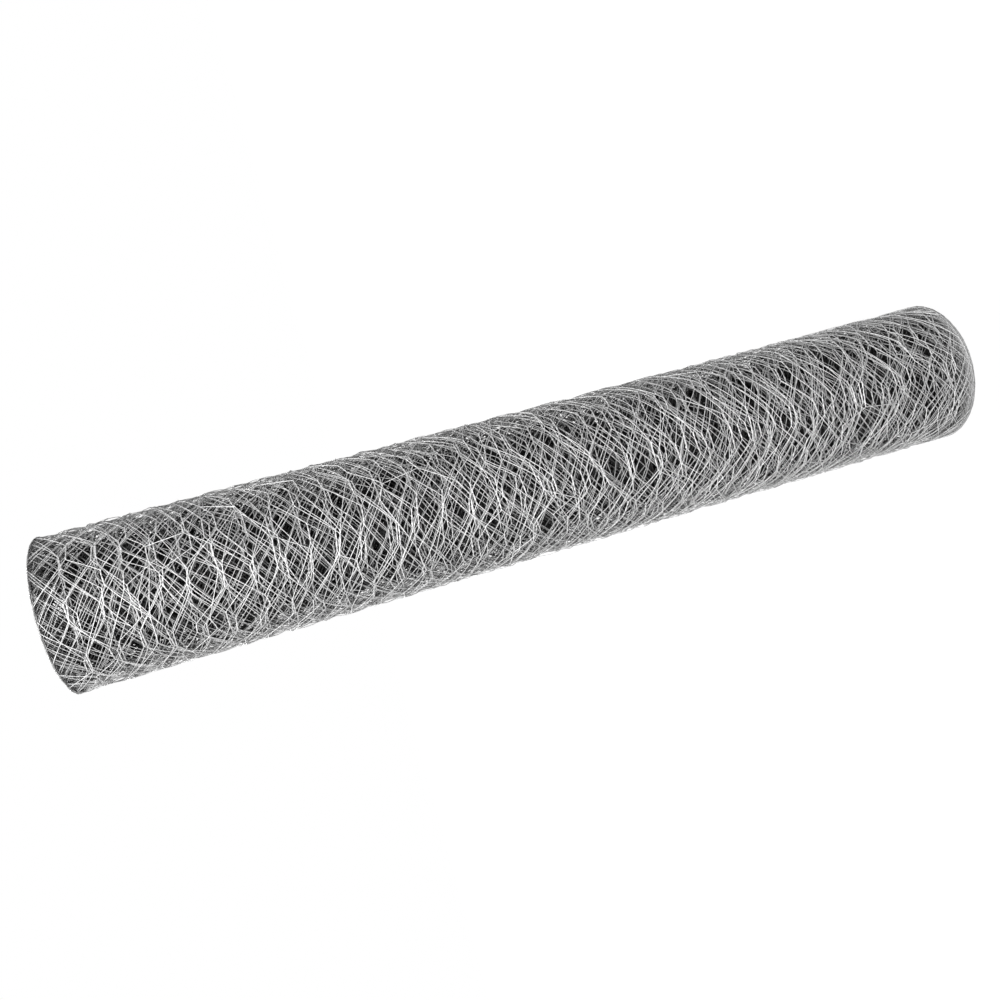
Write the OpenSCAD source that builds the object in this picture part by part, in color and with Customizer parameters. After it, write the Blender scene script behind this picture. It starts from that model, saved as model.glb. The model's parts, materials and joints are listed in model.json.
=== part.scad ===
// Roll of galvanized hexagonal wire netting, standing on its end.
// The roll is one turned solid round the Z axis with an open bore. The edges
// of the netting, its selvedges, show as rounded ribs on both end faces. Turns
// nest into each other as they are wound, so two turns share each rib. The
// origin is on the roll's axis, in the plane of the lower selvedges' tips.

/* [Roll] */
// Width of the netting, which is the length of the roll
roll_length = 900; // [300:50:1500]
// Diameter over the twists of the outermost turn
roll_d = 146; // [100:1:240]
// Diameter of the open bore that the winding bar leaves
bore_d = 50; // [30:1:80]

/* [Netting] */
// Thickness of the netting's wire, which is the thickness of a rib
wire_d = 0.8; // [0.6:0.05:1.8]
// Least radial gap between one rib and the next
rib_gap = 0.25; // [0.1:0.05:0.5]
// How far the selvedges stand out of the packed turns between them
selvedge_h = 2; // [1.5:0.1:5]

/* [Hidden] */

roll_r = roll_d / 2;
bore_r = bore_d / 2;
wall = roll_r - bore_r;

// Whole ribs that fit between the bore and the outside. The first rib is
// flush with the bore and the last with the outside, so there is one gap
// fewer than there are ribs, and what is left over widens the gaps.
ribs = floor((wall + rib_gap) / (wire_d + rib_gap));
rib_pitch = (wall - wire_d) / (ribs - 1);

// The packed turns stop short of the roll's ends by the selvedges' height.
packed_length = roll_length - 2 * selvedge_h;

$fn = 96;

// Section of the packed turns: radius across, the roll's axis up
module packed_section() {
    translate([bore_r, selvedge_h])
        square([wall, packed_length]);
}

// Section of two nested turns, out to their selvedges' rounded tips
module rib_section(inner_r) {
    tip_r = wire_d / 2;
    translate([inner_r, tip_r])
        square([wire_d, roll_length - 2 * tip_r]);
    for (tip_z = [tip_r, roll_length - tip_r])
        translate([inner_r + tip_r, tip_z])
            circle(r = tip_r);
}

// The wound netting, turned in one piece
module netting_roll() {
    color("silver")
        rotate_extrude() {
            packed_section();
            for (rib = [0 : ribs - 1])
                rib_section(bore_r + rib * rib_pitch);
        }
}

netting_roll();
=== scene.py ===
import json
import math

import bpy
from mathutils import Matrix, Vector


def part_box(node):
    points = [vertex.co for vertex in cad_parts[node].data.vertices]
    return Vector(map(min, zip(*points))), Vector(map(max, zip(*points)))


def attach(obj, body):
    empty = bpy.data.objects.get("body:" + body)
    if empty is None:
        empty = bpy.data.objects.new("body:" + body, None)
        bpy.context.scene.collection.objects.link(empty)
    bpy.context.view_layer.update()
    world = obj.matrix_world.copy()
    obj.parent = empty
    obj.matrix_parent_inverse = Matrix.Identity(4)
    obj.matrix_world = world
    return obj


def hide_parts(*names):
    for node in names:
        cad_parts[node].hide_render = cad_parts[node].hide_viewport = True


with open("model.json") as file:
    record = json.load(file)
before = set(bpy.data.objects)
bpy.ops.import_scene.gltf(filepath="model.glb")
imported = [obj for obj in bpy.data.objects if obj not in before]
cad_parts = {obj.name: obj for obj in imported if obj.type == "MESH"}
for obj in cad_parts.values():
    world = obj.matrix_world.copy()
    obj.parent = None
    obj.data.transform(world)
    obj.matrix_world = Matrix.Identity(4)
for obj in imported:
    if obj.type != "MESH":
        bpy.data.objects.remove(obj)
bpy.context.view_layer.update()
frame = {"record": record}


# --- The netting --------------------------------------------------------------
# One length of hexagonal netting, woven from hot-dip galvanized steel wire and wound
# up tightly on a bar. Each wire is twisted with one neighbour, slants across and is
# twisted with the other. Twisted wires along both edges make the selvedges.

MM = 0.001
roll_low, roll_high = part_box("netting_roll")
roll_length = roll_high.z - roll_low.z
roll_radius = (roll_high.x - roll_low.x) / 2
bore_radius = frame["record"]["mounts"][0]["dims"]["r_mm"] * MM

wire_diameter = 0.8 * MM
columns = 36
low_margin = 2.0 * MM
high_margin = 1.2 * MM
column_pitch = (roll_length - low_margin - high_margin) / columns
row_pitch = 50 * MM
twist_length = 16 * MM
last_twist_length = 18 * MM
selvedge_twist_length = 45 * MM
half_turns_in_twist = 3
slant_bow = 0.15


def linear(hex_colour):
    """The linear RGBA of an sRGB hex colour such as "a0a4a6"."""
    channels = [int(hex_colour[i : i + 2], 16) / 255 for i in (0, 2, 4)]
    return [c / 12.92 if c <= 0.04045 else ((c + 0.055) / 1.055) ** 2.4 for c in channels] + [1]


def add(tree, kind, inputs=(), **settings):
    """Adds a node with its settings; each input is a value, a socket or a node."""
    node = tree.nodes.new(kind)
    for name, value in settings.items():
        setattr(node, name, value)
    for key, value in inputs.items() if isinstance(inputs, dict) else enumerate(inputs):
        if isinstance(value, bpy.types.Node):
            value = value.outputs[0]
        if isinstance(value, bpy.types.NodeSocket):
            tree.links.new(value, node.inputs[key])
        else:
            node.inputs[key].default_value = value
    return node


MATH = "ShaderNodeMath"
RANGE = "ShaderNodeMapRange"
VECTOR = "ShaderNodeVectorMath"
NOISE = "ShaderNodeTexNoise"
MIX = "ShaderNodeMix"
XYZ = "ShaderNodeCombineXYZ"

# Galvanized steel wire. The molten zinc froze in streaks and dull patches, so each
# wire is a light, half-dull grey with short glints and duller marks along it. Real
# streaks are a few tenths of a millimetre wide and are drawn coarser, to show.
light_zinc = linear("fafafa")
# The colour of the painted shade deep between the turns
painted_shade_zinc = linear("202020")
zinc_metallic = 0.3
glossy_streak = 0.38
dull_streak = 0.62
streak_size = 1.3 * MM
streak_tone = 0.6
streak_depth = 0.15 * MM
streak_relief = 0.5
patch_size = 30 * MM
patch_tone = 0.9
noise_span = {"From Min": 0.35, "From Max": 0.65}
gloss_span = {"From Min": 0.3, "From Max": 0.7}

# Little light reaches the wires deep between the turns, so their zinc is drawn darker
# there: painted shade. It is light where it lies open: outside, at both ends and in the
# bore. Within a few millimetres of both ends the wires are drawn darker again: painted shade on the
# rims.
shaded_radius = 62.5 * MM
open_radius = 72.5 * MM
open_end = 2 * MM
shaded_end = 7 * MM
shaded_bore = 5 * MM
tip_height = 1.5 * MM
past_tips = 4 * MM
rim_shade_tone = 0.55

wire_finish = bpy.data.materials.new("galvanized_steel_wire")
wire_finish.use_nodes = True
zinc = wire_finish.node_tree
shader = zinc.nodes["Principled BSDF"]
shader.inputs["Metallic"].default_value = zinc_metallic
spot = add(zinc, "ShaderNodeTexCoord").outputs["Object"]
flat_spot = add(zinc, VECTOR, [spot, (1, 1, 0)], operation="MULTIPLY")
from_axis = add(zinc, VECTOR, [flat_spot], operation="LENGTH").outputs["Value"]
spot_height = add(zinc, "ShaderNodeSeparateXYZ", [spot]).outputs["Z"]
above_middle = add(zinc, MATH, [spot_height, roll_length / 2], operation="SUBTRACT")
from_middle = add(zinc, MATH, [above_middle], operation="ABSOLUTE")
from_end = add(zinc, MATH, [roll_length / 2, from_middle], operation="SUBTRACT")
open_outside = add(
    zinc,
    RANGE,
    {"Value": from_axis, "From Min": shaded_radius, "From Max": open_radius},
)
open_ends = add(zinc, RANGE, {"Value": from_end, "From Min": shaded_end, "From Max": open_end})
open_bore = add(
    zinc,
    RANGE,
    {"Value": from_axis, "From Min": bore_radius + shaded_bore, "From Max": bore_radius},
)
open_air = add(zinc, MATH, [open_outside, open_ends], operation="MAXIMUM")
open_air = add(zinc, MATH, [open_air, open_bore], operation="MAXIMUM")
patches = add(zinc, NOISE, {"Vector": spot, "Scale": 1 / patch_size, "Detail": 2})
streaks = add(zinc, NOISE, {"Vector": spot, "Scale": 1 / streak_size, "Detail": 1})
patchy = add(zinc, RANGE, {"Value": patches, "To Min": patch_tone, **noise_span})
streaky = add(zinc, RANGE, {"Value": streaks, "To Min": streak_tone, **noise_span})
# Painted shade on the rims: the wires within a few millimetres of both ends are drawn darker
painted_rim_shade = add(
    zinc,
    RANGE,
    {"Value": from_end, "From Min": tip_height, "From Max": past_tips, "To Min": rim_shade_tone},
)
# The zinc's own patches and streaks, times the painted shade between the turns and on the rims
tone_and_painted_shade = add(zinc, MATH, [patchy, streaky], operation="MULTIPLY")
tone_and_painted_shade = add(zinc, MATH, [tone_and_painted_shade, open_air], operation="MULTIPLY")
tone_and_painted_shade = add(zinc, MATH, [tone_and_painted_shade, painted_rim_shade], operation="MULTIPLY")
zinc_colour = add(
    zinc,
    MIX,
    {"Factor": tone_and_painted_shade, "A": painted_shade_zinc, "B": light_zinc},
    data_type="RGBA",
)
gloss = add(
    zinc,
    RANGE,
    {"Value": streaks, "To Min": glossy_streak, "To Max": dull_streak, **gloss_span},
)
relief = add(
    zinc,
    "ShaderNodeBump",
    {"Height": streaks, "Strength": streak_relief, "Distance": streak_depth},
)
zinc.links.new(zinc_colour.outputs["Result"], shader.inputs["Base Color"])
zinc.links.new(gloss.outputs[0], shader.inputs["Roughness"])
zinc.links.new(relief.outputs[0], shader.inputs["Normal"])

# The netting is made flat, with x along its length and y across it, and then wound up
tree = bpy.data.node_groups.new("rolled_netting", "GeometryNodeTree")
tree.interface.new_socket("Geometry", in_out="OUTPUT", socket_type="NodeSocketGeometry")
for name in ("First Row", "Rows", "Wires", "Twist Steps", "Slant Steps", "Wire Sides"):
    tree.interface.new_socket(name, in_out="INPUT", socket_type="NodeSocketInt")
for name in (
    "Row Pitch",
    "Column Pitch",
    "Edge",
    "Width",
    "Twist Length",
    "Bow",
    "Wire Diameter",
    "Start",
    "Start Radius",
    "Turn Length",
    "Turn Pitch",
    "Turned",
    "Slack",
):
    tree.interface.new_socket(name, in_out="INPUT", socket_type="NodeSocketFloat")
tree.interface.new_socket("Finish", in_out="INPUT", socket_type="NodeSocketMaterial")
given = add(tree, "NodeGroupInput").outputs

# One wire from the middle of a twist to the middle of the next: it winds round its
# neighbour, leaves it, slants to the next column and winds round that neighbour
parting = given["Twist Steps"]
meeting = add(tree, MATH, [parting, given["Slant Steps"]], operation="ADD")
steps = add(tree, MATH, [parting, 2, given["Slant Steps"]], operation="MULTIPLY_ADD")
points = add(
    tree,
    "GeometryNodeResampleCurve",
    {
        "Curve": add(tree, "GeometryNodeCurvePrimitiveLine"),
        "Count": add(tree, MATH, [steps, 1], operation="ADD"),
    },
)
index = add(tree, "GeometryNodeInputIndex")
leaving = add(tree, RANGE, {"Value": index, "From Max": parting})
slanting = add(tree, RANGE, {"Value": index, "From Min": parting, "From Max": meeting})
joining = add(tree, RANGE, {"Value": index, "From Min": meeting, "From Max": steps})
twisted = add(tree, MATH, [leaving, joining], operation="ADD")
rise = add(tree, MATH, [given["Row Pitch"], given["Twist Length"]], operation="SUBTRACT")
half_twist = add(tree, MATH, [given["Twist Length"], 0.5], operation="MULTIPLY")
risen = add(tree, MATH, [slanting, rise], operation="MULTIPLY")
along = add(tree, MATH, [twisted, half_twist, risen], operation="MULTIPLY_ADD")
bowed = add(tree, RANGE, {"Value": slanting}, interpolation_type="SMOOTHSTEP")
slide = add(tree, MIX, {"Factor": given["Bow"], "A": slanting, "B": bowed})
moved = add(tree, MATH, [slide, given["Column Pitch"]], operation="MULTIPLY")
untwisted = add(tree, MATH, [twisted, 1], operation="SUBTRACT")
twist_angle = half_turns_in_twist * math.pi / 2
wound_on = add(tree, MATH, [untwisted, twist_angle], operation="MULTIPLY")
turn = add(tree, MATH, [slanting, math.pi, wound_on], operation="MULTIPLY_ADD")
turn_cosine = add(tree, MATH, [turn], operation="COSINE")
turn_sine = add(tree, MATH, [turn], operation="SINE")
wire_radius = add(tree, MATH, [given["Wire Diameter"], 0.5], operation="MULTIPLY")
across = add(tree, MATH, [turn_cosine, wire_radius, moved], operation="MULTIPLY_ADD")
raised = add(tree, MATH, [turn_sine, wire_radius], operation="MULTIPLY")
# A wire is raised only in the twists: between them it lies in the netting's plane
between = add(tree, MATH, [slanting, 0.5, 0.499], operation="COMPARE")
in_twist = add(tree, MATH, [1, between], operation="SUBTRACT")
above = add(tree, MATH, [raised, in_twist], operation="MULTIPLY")
wire_line = add(tree, XYZ, [along, across, above])
wire = add(tree, "GeometryNodeSetPosition", {"Geometry": points, "Position": wire_line})

# The mesh: one such wire for every row and column, turned over where it slants back
wires = given["Wires"]
first_row = given["First Row"]
grid_points = add(tree, MATH, [given["Rows"], wires], operation="MULTIPLY")
grid = add(tree, "GeometryNodePoints", {"Count": grid_points})
row = add(tree, MATH, [index, wires], operation="DIVIDE")
row = add(tree, MATH, [row], operation="FLOOR")
column = add(tree, MATH, [index, wires], operation="FLOORED_MODULO")
forth = add(tree, MATH, [row, first_row], operation="ADD")
forth = add(tree, MATH, [forth, column], operation="ADD")
forth = add(tree, MATH, [forth, 2], operation="FLOORED_MODULO")
back = add(tree, MATH, [1, forth], operation="SUBTRACT")
row_place = add(tree, MATH, [row, given["Row Pitch"], given["Start"]], operation="MULTIPLY_ADD")
line = add(tree, MATH, [column, back], operation="ADD")
line_place = add(tree, MATH, [line, given["Column Pitch"], given["Edge"]], operation="MULTIPLY_ADD")
place = add(tree, XYZ, [row_place, line_place])
turned_over = add(tree, MATH, [back, math.pi], operation="MULTIPLY")
woven = add(
    tree,
    "GeometryNodeInstanceOnPoints",
    {
        "Points": add(tree, "GeometryNodeSetPosition", {"Geometry": grid, "Position": place}),
        "Instance": wire,
        "Rotation": add(tree, XYZ, [turned_over]),
    },
)
flat = add(tree, "GeometryNodeRealizeInstances", {"Geometry": woven})

# Winding up: the distance along the netting becomes an angle on a spiral
here = add(tree, "GeometryNodeInputPosition")
sheet = add(tree, "ShaderNodeSeparateXYZ", [here]).outputs
since = add(tree, MATH, [sheet["X"], given["Start"]], operation="SUBTRACT")
turns = add(tree, MATH, [since, given["Turn Length"]], operation="DIVIDE")
radius = add(tree, MATH, [turns, given["Turn Pitch"], given["Start Radius"]], operation="MULTIPLY_ADD")
angle = add(tree, MATH, [turns, 2 * math.pi, given["Turned"]], operation="MULTIPLY_ADD")

# Turns that lie on each other bend together, and each also strays a little of its own,
# more towards the low end. The outermost turns lie looser than the rest. A selvedge is
# stiffer than the mesh and strays least. Each bend has its kind, how many times it
# changes in a metre, its seed, and how far it reaches round the roll and along it.
# Shared bends change slowly from each turn to the next one outwards.
bends = (
    ("shared", 14.0, 31.3, (16 * MM, 16 * MM, 0)),
    ("shared", 5.0, 3.1, (30 * MM, 20 * MM, 0)),
    ("own", 2.5, 32.3, (36 * MM, 60 * MM, 0)),
    ("own", 9.0, 6.7, (18 * MM, 18 * MM, 0)),
    ("loose", 12.0, 14.9, (50 * MM, 24 * MM, 0)),
)
shared_radius = 70 * MM
change_outwards = 8.0
own_at_high_end = 0.25
own_at_low_end = 1.25
own_starts = 0.3
selvedge_free = 0.1
stiff_edge = 50 * MM

# The bends act on the twists, and between two of them a wire is drawn straight, so
# they are found at both ends of its slant and mixed along it
home = add(tree, "GeometryNodeCurveOfPoint").outputs
home_row = add(tree, MATH, [home["Curve Index"], wires], operation="DIVIDE")
home_row = add(tree, MATH, [home_row], operation="FLOOR")
home_column = add(tree, MATH, [home["Curve Index"], wires], operation="FLOORED_MODULO")
goes_up = add(tree, MATH, [home_row, first_row], operation="ADD")
goes_up = add(tree, MATH, [goes_up, home_column], operation="ADD")
goes_up = add(tree, MATH, [goes_up, 2], operation="FLOORED_MODULO")
goes_down = add(tree, MATH, [1, goes_up], operation="SUBTRACT")
begins = add(tree, MATH, [home_row, given["Row Pitch"], given["Start"]], operation="MULTIPLY_ADD")
parts_at = add(tree, MATH, [begins, half_twist], operation="ADD")
meets_at = add(tree, MATH, [parts_at, rise], operation="ADD")
lean = add(tree, RANGE, {"Value": home["Index in Curve"], "From Min": parting, "From Max": meeting})
half_width = add(tree, MATH, [given["Width"], 0.5], operation="MULTIPLY")
layer = add(tree, MATH, [radius, change_outwards], operation="MULTIPLY")
end_bends = []
for limit, slant_end, aside in (("MINIMUM", parts_at, goes_down), ("MAXIMUM", meets_at, goes_up)):
    u = add(tree, MATH, [sheet["X"], slant_end], operation=limit)
    v = add(tree, MATH, [home_column, aside], operation="ADD")
    v = add(tree, MATH, [v, given["Column Pitch"], given["Edge"]], operation="MULTIPLY_ADD")
    u_turns = add(tree, MATH, [u, given["Start"]], operation="SUBTRACT")
    u_turns = add(tree, MATH, [u_turns, given["Turn Length"]], operation="DIVIDE")
    u_angle = add(tree, MATH, [u_turns, 2 * math.pi, given["Turned"]], operation="MULTIPLY_ADD")
    round_x = add(tree, MATH, [u_angle], operation="COSINE")
    round_x = add(tree, MATH, [round_x, shared_radius], operation="MULTIPLY")
    round_y = add(tree, MATH, [u_angle], operation="SINE")
    round_y = add(tree, MATH, [round_y, shared_radius], operation="MULTIPLY")
    rolled_place = add(tree, XYZ, [round_x, round_y, v])
    flat_place = add(tree, XYZ, [u, v])
    to_low = add(tree, RANGE, {"Value": v, "From Min": given["Width"], "From Max": 0.0})
    own_share = add(
        tree,
        RANGE,
        {
            "Value": to_low,
            "From Min": own_starts,
            "To Min": own_at_high_end,
            "To Max": own_at_low_end,
        },
    )
    shifts = []
    for kind, changes, seed, reach in bends:
        noise = add(
            tree,
            NOISE,
            {
                "Vector": rolled_place if kind == "shared" else flat_place,
                "W": add(tree, MATH, [layer, seed], operation="ADD") if kind == "shared" else seed,
                "Scale": changes,
                "Detail": 0,
            },
            noise_dimensions="4D",
        )
        shift = add(tree, VECTOR, [noise.outputs["Color"], (0.5, 0.5, 0.5)], operation="SUBTRACT")
        shift = add(tree, VECTOR, [shift, reach], operation="MULTIPLY")
        if kind == "own":
            shift = add(tree, VECTOR, {0: shift, "Scale": own_share}, operation="SCALE")
        if kind == "loose":
            shift = add(tree, VECTOR, {0: shift, "Scale": given["Slack"]}, operation="SCALE")
        shifts.append(shift)
    while len(shifts) > 1:
        shifts.append(add(tree, VECTOR, [shifts.pop(), shifts.pop()], operation="ADD"))
    from_centre = add(tree, MATH, [v, half_width], operation="SUBTRACT")
    from_centre = add(tree, MATH, [from_centre], operation="ABSOLUTE")
    from_edge = add(tree, MATH, [half_width, from_centre], operation="SUBTRACT")
    free = add(tree, RANGE, {"Value": from_edge, "From Max": stiff_edge, "To Min": selvedge_free})
    freed = add(tree, XYZ, [1.0, free])
    end_bends.append(add(tree, VECTOR, [shifts[0], freed], operation="MULTIPLY"))
# The numbers of a Mix node's two vector inputs
vector_a, vector_b = 4, 5
bent = add(
    tree,
    MIX,
    {"Factor": lean, vector_a: end_bends[0], vector_b: end_bends[1]},
    data_type="VECTOR",
)
strayed = add(tree, "ShaderNodeSeparateXYZ", [bent.outputs[1]]).outputs
out = add(tree, MATH, [radius, sheet["Z"]], operation="ADD")
turned_on = add(tree, MATH, [strayed["X"], radius], operation="DIVIDE")
bearing = add(tree, MATH, [angle, turned_on], operation="ADD")
bearing_cosine = add(tree, MATH, [bearing], operation="COSINE")
bearing_sine = add(tree, MATH, [bearing], operation="SINE")
wound_x = add(tree, MATH, [out, bearing_cosine], operation="MULTIPLY")
wound_y = add(tree, MATH, [out, bearing_sine], operation="MULTIPLY")
top_limit = add(tree, MATH, [given["Width"], wire_diameter], operation="SUBTRACT")
height = add(tree, MATH, [strayed["Y"], sheet["Y"]], operation="ADD")
height = add(tree, MATH, [height, wire_diameter], operation="MAXIMUM")
height = add(tree, MATH, [height, top_limit], operation="MINIMUM")
wound = add(tree, XYZ, [wound_x, wound_y, height])
rolled = add(tree, "GeometryNodeSetPosition", {"Geometry": flat, "Position": wound})

# A wire with few sides keeps the width of the round one
half_side = add(tree, MATH, [math.pi, given["Wire Sides"]], operation="DIVIDE")
flatness = add(tree, MATH, [half_side], operation="SINE")
flatness = add(tree, MATH, [given["Wire Sides"], flatness], operation="MULTIPLY")
widened = add(tree, MATH, [math.pi, flatness], operation="DIVIDE")
section_radius = add(tree, MATH, [wire_radius, widened], operation="MULTIPLY")
section = add(
    tree,
    "GeometryNodeCurvePrimitiveCircle",
    {"Resolution": given["Wire Sides"], "Radius": section_radius},
)
solid = add(
    tree,
    "GeometryNodeCurveToMesh",
    {"Curve": rolled, "Profile Curve": section, "Fill Caps": True},
)
finished = add(tree, "GeometryNodeSetMaterial", {"Geometry": solid, "Material": given["Finish"]})
add(tree, "NodeGroupOutput", [finished])


def plain_mesh(name, tree, values):
    """Runs a node tree with these inputs and keeps its result as a plain mesh."""
    maker = bpy.data.objects.new(name + "_maker", bpy.data.meshes.new(name + "_maker"))
    bpy.context.scene.collection.objects.link(maker)
    modifier = maker.modifiers.new("nodes", "NODES")
    modifier.node_group = tree
    for socket in tree.interface.items_tree:
        if socket.in_out == "INPUT":
            modifier[socket.identifier] = values[socket.name]
    depsgraph = bpy.context.evaluated_depsgraph_get()
    mesh = bpy.data.meshes.new_from_object(maker.evaluated_get(depsgraph))
    mesh.name = name
    bpy.data.objects.remove(maker)
    piece = bpy.data.objects.new(name, mesh)
    bpy.context.scene.collection.objects.link(piece)
    return piece


# The turns in the order they are wound. "steps" are a wire's steps in half a twist and
# in a slant, and its sides. The inner turns show only through the rest, and have fewer;
# the innermost are of thicker wire, so that no light comes through the roll. Thin wires
# look thicker than they are, so the others are drawn thinner. The outer turns have the
# same number of rows each, and lie close, so that their twists gather into bands.
outside_pitch = 0.25 * MM
outside_rows = 8.94
last_rows = 9.0
inside_thickness = 1.7
mesh_thickness = 0.8
selvedge_thickness = 0.7
selvedge_steps = (3, 1, 3)
tail_angle = math.radians(76)
outside = {"rows": outside_rows, "pitch": outside_pitch}
stages = [
    {"name": "inside", "turns": 38, "steps": (1, 1, 3), "thick": inside_thickness},
    {"name": "middle", "turns": 6, "steps": (2, 1, 3), "rows": outside_rows},
    {"name": "close", "turns": 9, "steps": (2, 1, 3), **outside},
    {"name": "outside_1", "turns": 9, "steps": (3, 2, 3), "slack": 1.01, **outside},
    {"name": "outside_2", "turns": 6, "steps": (4, 3, 3), "slack": 0.81, **outside},
    {"name": "outside_3", "turns": 5, "steps": (4, 4, 4), "slack": 1.02, **outside},
    {
        "name": "last_turn",
        "turns": 1,
        "steps": (5, 6, 5),
        "slack": 2.0,
        "rows": last_rows,
        "pitch": outside_pitch,
        "twist": last_twist_length,
    },
]
inner_radius = bore_radius + wire_diameter
outer_radius = roll_radius - wire_diameter
outer_turns = sum(stage["turns"] for stage in stages if "pitch" in stage)
inner_turns = sum(stage["turns"] for stage in stages if "pitch" not in stage)
inside_pitch = (outer_radius - outer_turns * outside_pitch - inner_radius) / inner_turns
start_row, start_radius, start_angle = 0, inner_radius, 0.0
for stage in stages:
    pitch = stage.setdefault("pitch", inside_pitch)
    middle_radius = start_radius + stage["turns"] * pitch / 2
    per_turn = stage.setdefault("rows", 2 * math.pi * middle_radius / row_pitch)
    rows = round(stage["turns"] * per_turn)
    stage.update(start=start_row, count=rows, radius=start_radius, angle=start_angle)
    start_row += rows
    start_radius += rows / per_turn * pitch
    start_angle += 2 * math.pi * rows / per_turn
turned = tail_angle - start_angle

parts = (
    ("netting", low_margin, columns, column_pitch),
    ("low_selvedge", low_margin, 2, 0.0),
    ("high_selvedge", roll_length - high_margin, 2, 0.0),
)
for stage in stages:
    values = {
        "First Row": stage["start"],
        "Rows": stage["count"],
        "Row Pitch": row_pitch,
        "Width": roll_length,
        "Bow": slant_bow,
        "Start": stage["start"] * row_pitch,
        "Start Radius": stage["radius"],
        "Turn Length": stage["rows"] * row_pitch,
        "Turn Pitch": stage["pitch"],
        "Turned": stage["angle"] + turned,
        "Slack": stage.get("slack", 0.0),
        "Finish": wire_finish,
    }
    for part, edge, part_wires, part_pitch in parts:
        if part == "netting":
            thickness = stage.get("thick", mesh_thickness)
            twist = stage.get("twist", twist_length)
            part_steps = stage["steps"]
        else:
            thickness = selvedge_thickness
            twist = selvedge_twist_length
            part_steps = selvedge_steps
        values["Wires"] = part_wires
        values["Column Pitch"] = part_pitch
        values["Edge"] = edge
        values["Wire Diameter"] = wire_diameter * thickness
        values["Twist Length"] = twist
        values["Twist Steps"], values["Slant Steps"], values["Wire Sides"] = part_steps
        piece = plain_mesh(part + "_" + stage["name"], tree, values)
        for polygon in piece.data.polygons:
            polygon.use_smooth = True
        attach(piece, "root")
        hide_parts("netting_roll")


# --- The floor ----------------------------------------------------------------
# A plain white studio floor of matt paint, laid in one sheet. It is grey to the lamps,
# so that it throws little light back at the roll, and it looks white.

floor_half = 20
floor_grey = linear("505050")
white = linear("ffffff")
under_roll = 65 * MM
shadow_start = 0.2
shadow_end = 0.9
shadow_white = 0.93
corners = [(-1, -1), (1, -1), (1, 1), (-1, 1)]
floor_mesh = bpy.data.meshes.new("floor")
floor_mesh.from_pydata([(x * floor_half, y * floor_half, 0) for x, y in corners], [], [(0, 1, 2, 3)])
floor = bpy.data.objects.new("floor", floor_mesh)
bpy.context.scene.collection.objects.link(floor)

# Matt white paint. Its glow is turned down a little near the roll, painted shade round the
# roll's foot, and off under the roll, painted shadow there, so that no white comes up the bore.
floor_finish = bpy.data.materials.new("matt_white_paint")
floor_finish.use_nodes = True
paint = floor_finish.node_tree
matt = paint.nodes["Principled BSDF"]
matt.inputs["Base Color"].default_value = floor_grey
matt.inputs["Roughness"].default_value = 1
matt.inputs["Specular IOR Level"].default_value = 0
matt.inputs["Emission Color"].default_value = white
ways = add(paint, "ShaderNodeLightPath").outputs
seen = add(paint, MATH, [ways["Is Camera Ray"], ways["Is Glossy Ray"]], operation="MAXIMUM")
seen = add(paint, MATH, [seen, ways["Is Transmission Ray"]], operation="MAXIMUM")
floor_spot = add(paint, "ShaderNodeTexCoord").outputs["Object"]
from_roll = add(paint, VECTOR, [floor_spot], operation="LENGTH").outputs["Value"]
painted_shade_glow = add(
    paint,
    RANGE,
    {"Value": from_roll, "From Min": shadow_start, "From Max": shadow_end, "To Min": shadow_white},
)
# Painted shadow under the roll: no glow where it stands
uncovered = add(paint, MATH, [from_roll, under_roll], operation="GREATER_THAN")
glow = add(paint, MATH, [seen, painted_shade_glow], operation="MULTIPLY")
glow = add(paint, MATH, [glow, uncovered], operation="MULTIPLY")
paint.links.new(glow.outputs[0], matt.inputs["Emission Strength"])
floor_mesh.materials.append(floor_finish)


# --- The studio's light -------------------------------------------------------
# A white room, faint as a light, and four soft round lamps: one high in front, two
# lower down in front and a wide one behind. All are turned to the roll's middle.

room_light = 0.08
world = bpy.data.worlds.new("studio")
bpy.context.scene.world = world
world.use_nodes = True
room = world.node_tree
ways = add(room, "ShaderNodeLightPath").outputs
seen = add(room, MATH, [ways["Is Camera Ray"], ways["Is Glossy Ray"]], operation="MAXIMUM")
seen = add(room, MATH, [seen, ways["Is Transmission Ray"]], operation="MAXIMUM")
room_level = add(room, RANGE, {"Value": seen, "To Min": room_light, "To Max": 1.0})
background = room.nodes["Background"]
background.inputs["Color"].default_value = white
room.links.new(room_level.outputs[0], background.inputs["Strength"])

roll_middle = Vector((0, 0, 0.45))
lamps = (
    ("key_light", (-0.2, -1.8, 2.4), 0.8, 30),
    ("front_light", (-0.15, -1.1, 0.95), 0.5, 15.5),
    ("low_light", (-0.45, -1.4, 1.1), 0.6, 2.5),
    ("back_light", (0.0, 2.3, 1.9), 1.6, 85),
)
for name, lamp_place, width, watts in lamps:
    lamp = bpy.data.lights.new(name, "AREA")
    lamp.shape = "DISK"
    lamp.size = width
    lamp.energy = watts
    stand = bpy.data.objects.new(name, lamp)
    stand.location = lamp_place
    stand.rotation_euler = (roll_middle - Vector(lamp_place)).to_track_quat("-Z", "Y").to_euler()
    bpy.context.scene.collection.objects.link(stand)


# --- The camera ---------------------------------------------------------------
# The roll stands on its end, as it is stored. The camera looks at it from in front and
# a little above, and lies on its side, so that the roll lies across the picture.

camera_lens = 32.86
camera_place = (0, -0.875, 0.6553)
camera_aim = Vector((-0.0074, 0, 0.4874))
camera_roll = math.radians(-15.65)
camera_data = bpy.data.cameras.new("camera")
camera_data.lens = camera_lens
camera = bpy.data.objects.new("camera", camera_data)
camera.location = camera_place
forward = (camera_aim - camera.location).normalized()
right = forward.cross(Vector((1, 0, 0))).normalized()
upright = Matrix((right, right.cross(forward), -forward)).transposed()
camera.rotation_euler = (upright @ Matrix.Rotation(camera_roll, 3, "Z")).to_euler()
bpy.context.scene.collection.objects.link(camera)
bpy.context.scene.camera = camera

bpy.context.scene.view_settings.view_transform = "Standard"
